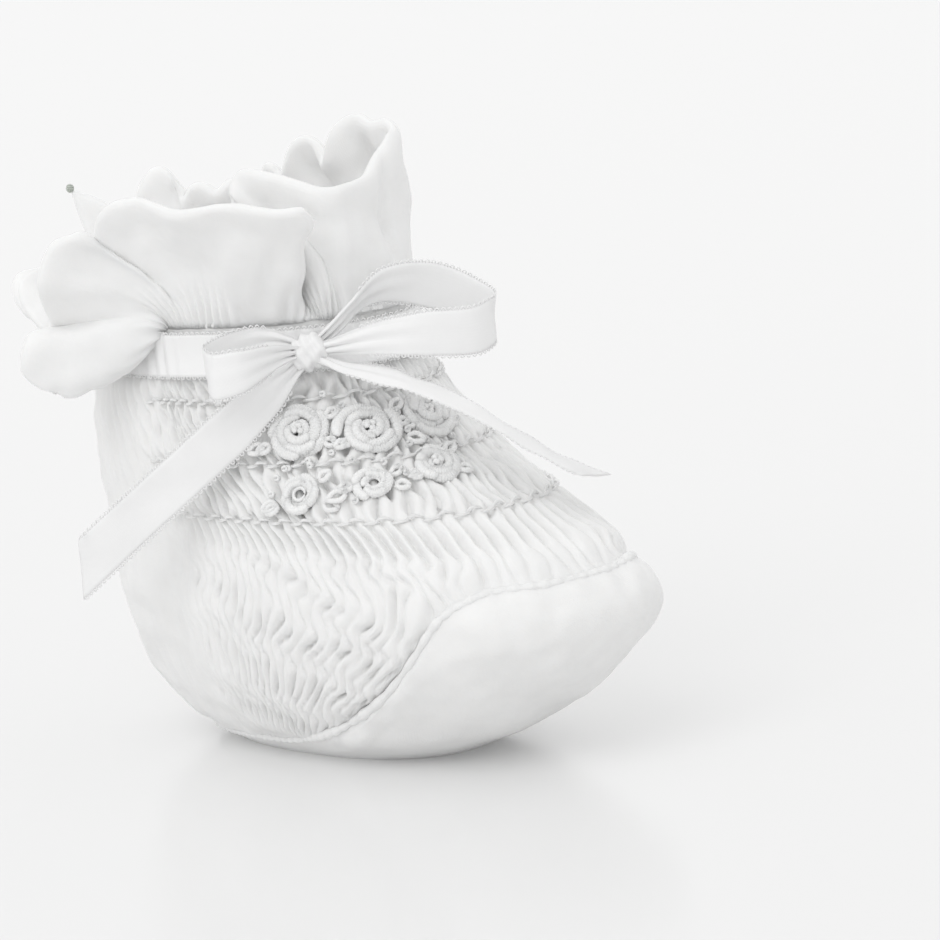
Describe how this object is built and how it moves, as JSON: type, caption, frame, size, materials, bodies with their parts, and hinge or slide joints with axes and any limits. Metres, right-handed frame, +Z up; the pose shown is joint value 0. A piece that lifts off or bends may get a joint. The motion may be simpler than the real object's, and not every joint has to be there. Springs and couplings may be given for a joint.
{
  "type": "baby bootie",
  "caption": "Soft smocked cotton baby bootie with a padded turned-up sole, a gathered frill and a satin ribbon bow.",
  "frame": {"origin": "middle of the flat patch of the sole that the bootie rests on", "axes": "+Z up, toe towards -Y, heel towards +Y, the wearer's right side towards -X"},
  "size_m": [0.0691, 0.1156, 0.096],
  "materials": {
    "white_cotton": "fine plain-woven white cotton, matt",
    "lining_cotton": "soft white cotton lawn",
    "embroidery_thread": "white stranded cotton thread, slight sheen",
    "grey_green_thread": "grey-green sewing thread",
    "wadding": "soft polyester wadding",
    "satin_ribbon": "white double-faced satin ribbon with a picot edge"
  },
  "bodies": {
    "bootie": {"outer_sole": "white_cotton", "sole_wadding": "wadding", "sole_lining": "lining_cotton", "smocked_upper": "white_cotton", "upper_lining": "lining_cotton", "sole_seam_roll": "white_cotton", "back_seam": "white_cotton", "cable_stitch_rows": "embroidery_thread", "bullion_flowers": "embroidery_thread", "flower_centres": "embroidery_thread", "leaf_stitches": "embroidery_thread", "frill": "white_cotton", "frill_thread_end": "grey_green_thread", "ribbon_band": "satin_ribbon", "bow_knot": "satin_ribbon"},
    "loop_left": {"bow_loop_left": "satin_ribbon"},
    "loop_right": {"bow_loop_right": "satin_ribbon"},
    "tail_left": {"ribbon_tail_left": "satin_ribbon"},
    "tail_right": {"ribbon_tail_right": "satin_ribbon"}
  },
  "joints": [
    {"name": "loop_left_swing", "type": "hinge", "parent": "bootie", "child": "loop_left", "pos_m": [-0.01273, -0.01204, 0.0611], "axis": [0, 0, 1], "range_deg": [-10, 15]},
    {"name": "loop_right_swing", "type": "hinge", "parent": "bootie", "child": "loop_right", "pos_m": [-0.01273, -0.01204, 0.0611], "axis": [0, 0, -1], "range_deg": [0, 20]},
    {"name": "tail_left_swing", "type": "hinge", "parent": "bootie", "child": "tail_left", "pos_m": [-0.01273, -0.01204, 0.0611], "axis": [0, 0, 1], "range_deg": [0, 55]},
    {"name": "tail_right_swing", "type": "hinge", "parent": "bootie", "child": "tail_right", "pos_m": [-0.01273, -0.01204, 0.0611], "axis": [0, 0, -1], "range_deg": [0, 50]}
  ]
}
